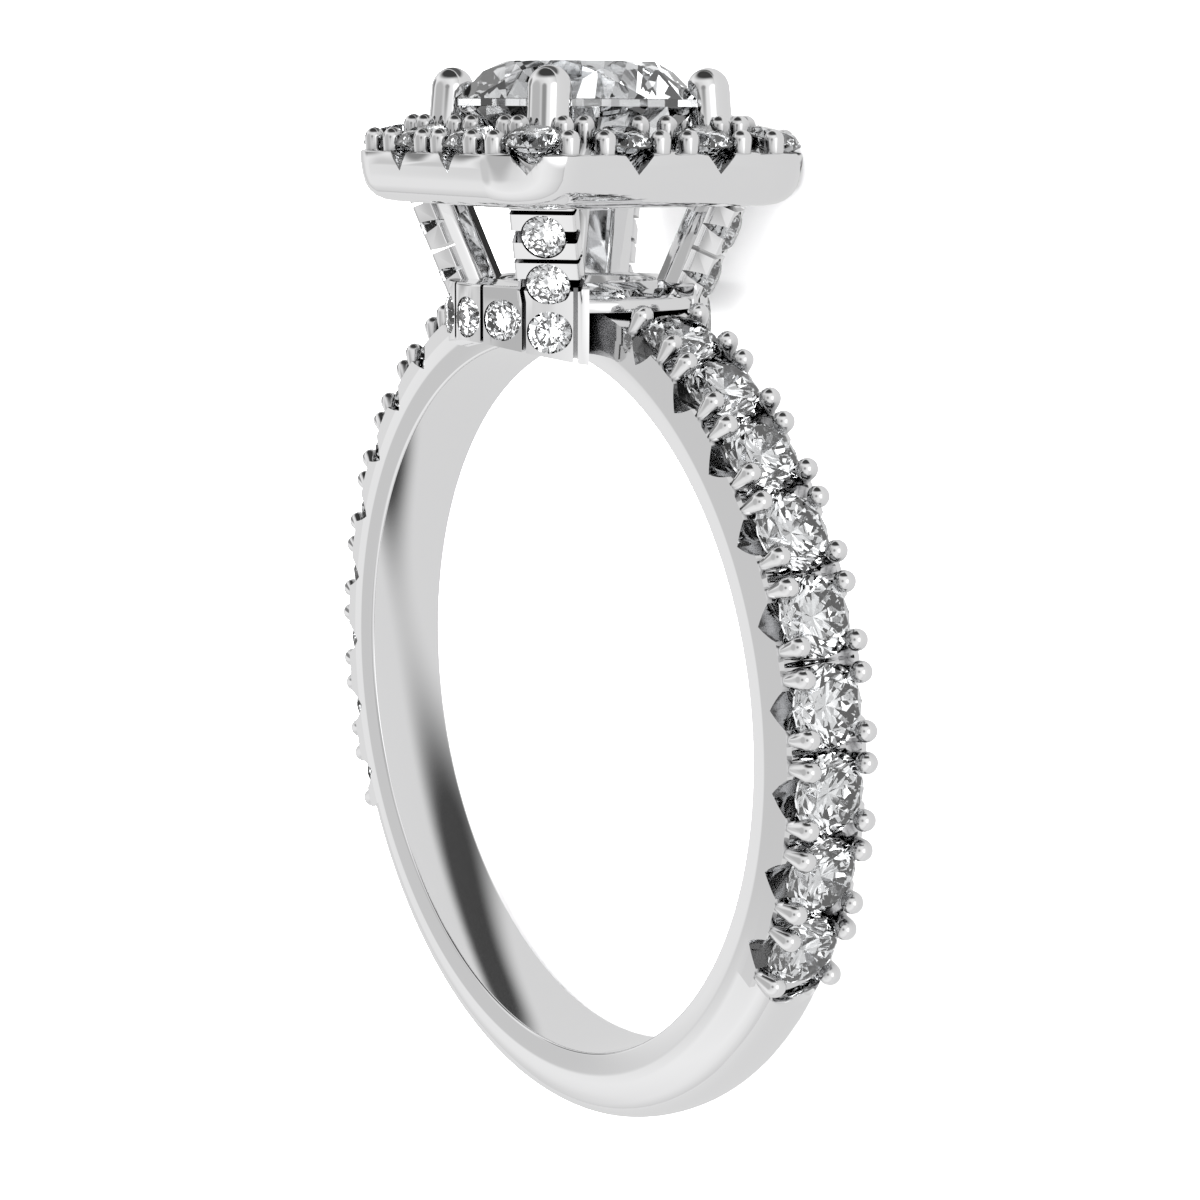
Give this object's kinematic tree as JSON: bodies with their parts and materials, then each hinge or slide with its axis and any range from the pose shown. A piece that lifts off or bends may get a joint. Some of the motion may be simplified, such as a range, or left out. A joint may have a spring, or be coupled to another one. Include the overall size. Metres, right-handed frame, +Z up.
{
  "type": "halo ring",
  "caption": "Halo ring: a round brilliant in a square-cushion halo on stone-set legs, with claw-set shoulders over pointed arches, lying on its side.",
  "frame": {"origin": "centre of the finger hole, on its axis, halfway along its wall; the ring lies on its side, so the table is below the origin", "axes": "+Y towards the head, +X across the ring from shoulder to shoulder, +Z up; the finger hole's axis leans about 8 degrees from +Z towards -Y, as the ring lies on the halo's edge and the band's edge"},
  "size_m": [0.0202, 0.0244, 0.0081],
  "materials": {
    "white_gold": "highly polished white gold",
    "center_diamond": "colourless round brilliant, polished facets",
    "melee_diamond": "small colourless brilliants, polished facets"
  },
  "bodies": {
    "root": {"ring_mount": "white_gold", "center_stone": "center_diamond", "gallery_stones": "melee_diamond", "halo_stone_01": "melee_diamond", "halo_stone_02": "melee_diamond", "halo_stone_03": "melee_diamond", "halo_stone_04": "melee_diamond", "halo_stone_05": "melee_diamond", "halo_stone_06": "melee_diamond", "halo_stone_07": "melee_diamond", "halo_stone_08": "melee_diamond", "halo_stone_09": "melee_diamond", "halo_stone_10": "melee_diamond", "halo_stone_11": "melee_diamond", "halo_stone_12": "melee_diamond", "shank_stone_right_1": "melee_diamond", "shank_stone_right_2": "melee_diamond", "shank_stone_right_3": "melee_diamond", "shank_stone_right_4": "melee_diamond", "shank_stone_right_5": "melee_diamond", "shank_stone_right_6": "melee_diamond", "shank_stone_right_7": "melee_diamond", "shank_stone_right_8": "melee_diamond", "shank_stone_right_9": "melee_diamond", "shank_stone_left_1": "melee_diamond", "shank_stone_left_2": "melee_diamond", "shank_stone_left_3": "melee_diamond", "shank_stone_left_4": "melee_diamond", "shank_stone_left_5": "melee_diamond", "shank_stone_left_6": "melee_diamond", "shank_stone_left_7": "melee_diamond", "shank_stone_left_8": "melee_diamond", "shank_stone_left_9": "melee_diamond"}
  },
  "joints": []
}
